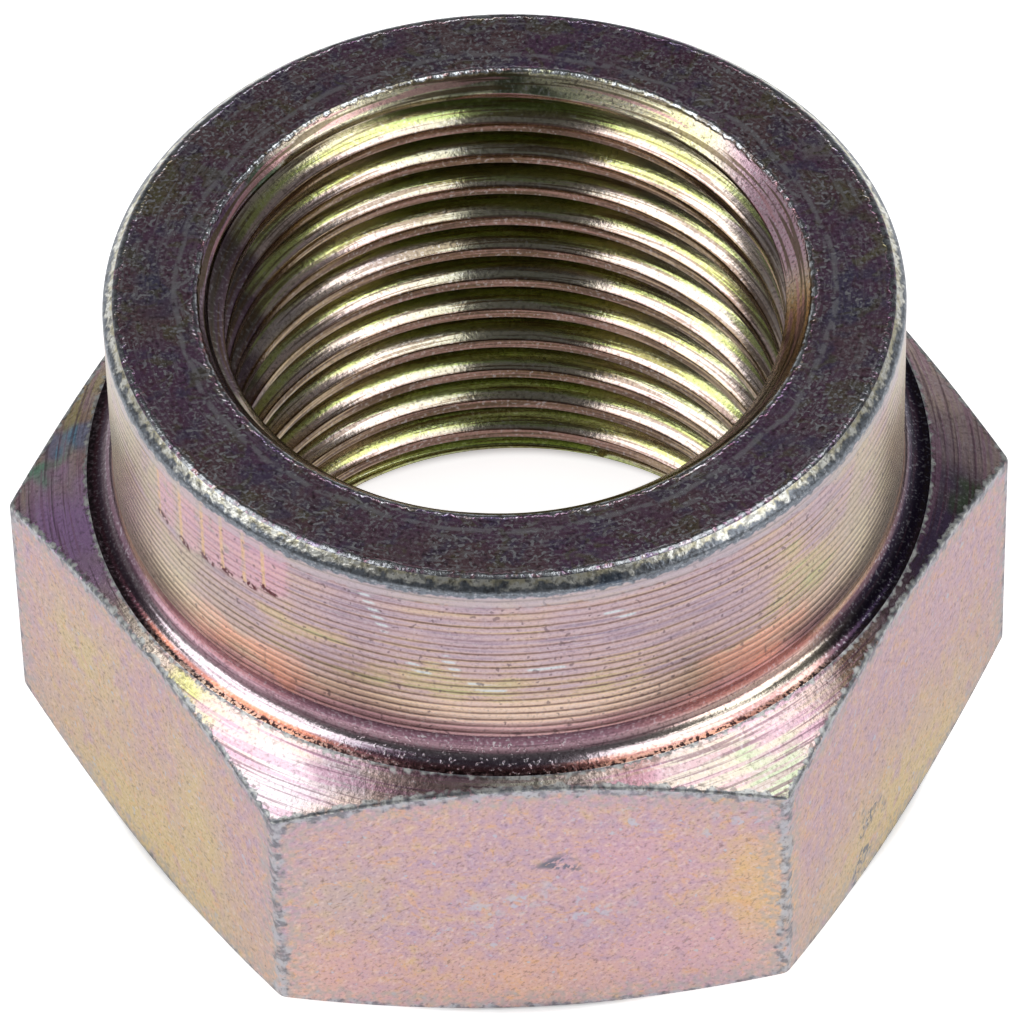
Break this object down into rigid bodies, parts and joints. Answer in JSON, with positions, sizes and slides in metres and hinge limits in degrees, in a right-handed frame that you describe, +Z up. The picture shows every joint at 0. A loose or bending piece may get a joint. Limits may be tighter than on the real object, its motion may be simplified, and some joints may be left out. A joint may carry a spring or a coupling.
{
  "type": "staked spindle nut",
  "caption": "Six-sided steel nut with a tall plain round collar to be staked into a spindle groove, and a fine right-hand thread through both.",
  "frame": {"origin": "centre of the flat base face, on the thread axis", "axes": "+Z up along the thread axis from the six-sided base to the collar, X through two opposite corners of the base, Y through two opposite flats"},
  "size_m": [0.0334, 0.029, 0.0194],
  "materials": {
    "plated_steel": "yellow zinc plating with a pink, gold, green and purple sheen, over turned and forged steel"
  },
  "bodies": {
    "root": {"spindle_nut": "plated_steel"}
  },
  "joints": []
}
